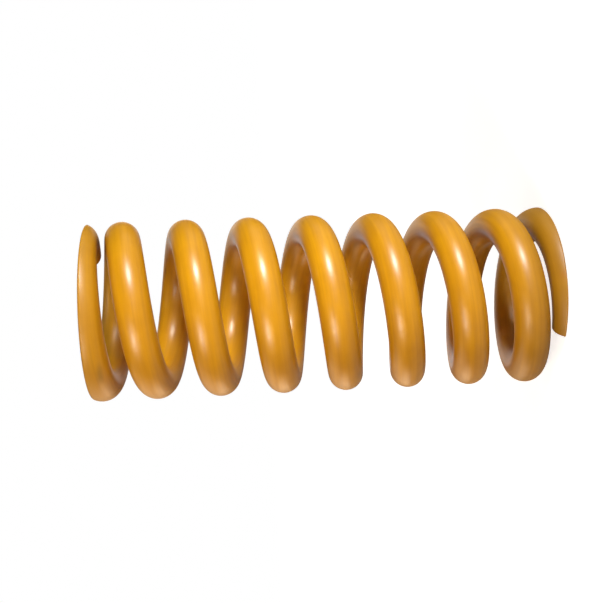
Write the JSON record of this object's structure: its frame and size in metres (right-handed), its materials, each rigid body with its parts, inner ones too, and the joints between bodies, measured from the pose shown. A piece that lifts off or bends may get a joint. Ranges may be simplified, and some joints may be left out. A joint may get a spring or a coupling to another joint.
{
  "type": "track tension spring",
  "caption": "Heavy helical compression spring of round bar, right-hand wound, with closed and ground ends, painted yellow-orange; it pushes a track's idler forward.",
  "frame": {"origin": "on the coil's axis, at the lower ground face, with the spring standing on that end", "axes": "+Z along the coil's axis, up to the upper ground face; the picture's camera looks along about +Y, and the picture's up is about +X"},
  "size_m": [0.196, 0.196, 0.503],
  "materials": {
    "enamelled_bar": "semi-gloss yellow-orange enamel, sprayed over the hot-coiled bar"
  },
  "bodies": {
    "root": {"track_spring": "enamelled_bar"}
  },
  "joints": []
}
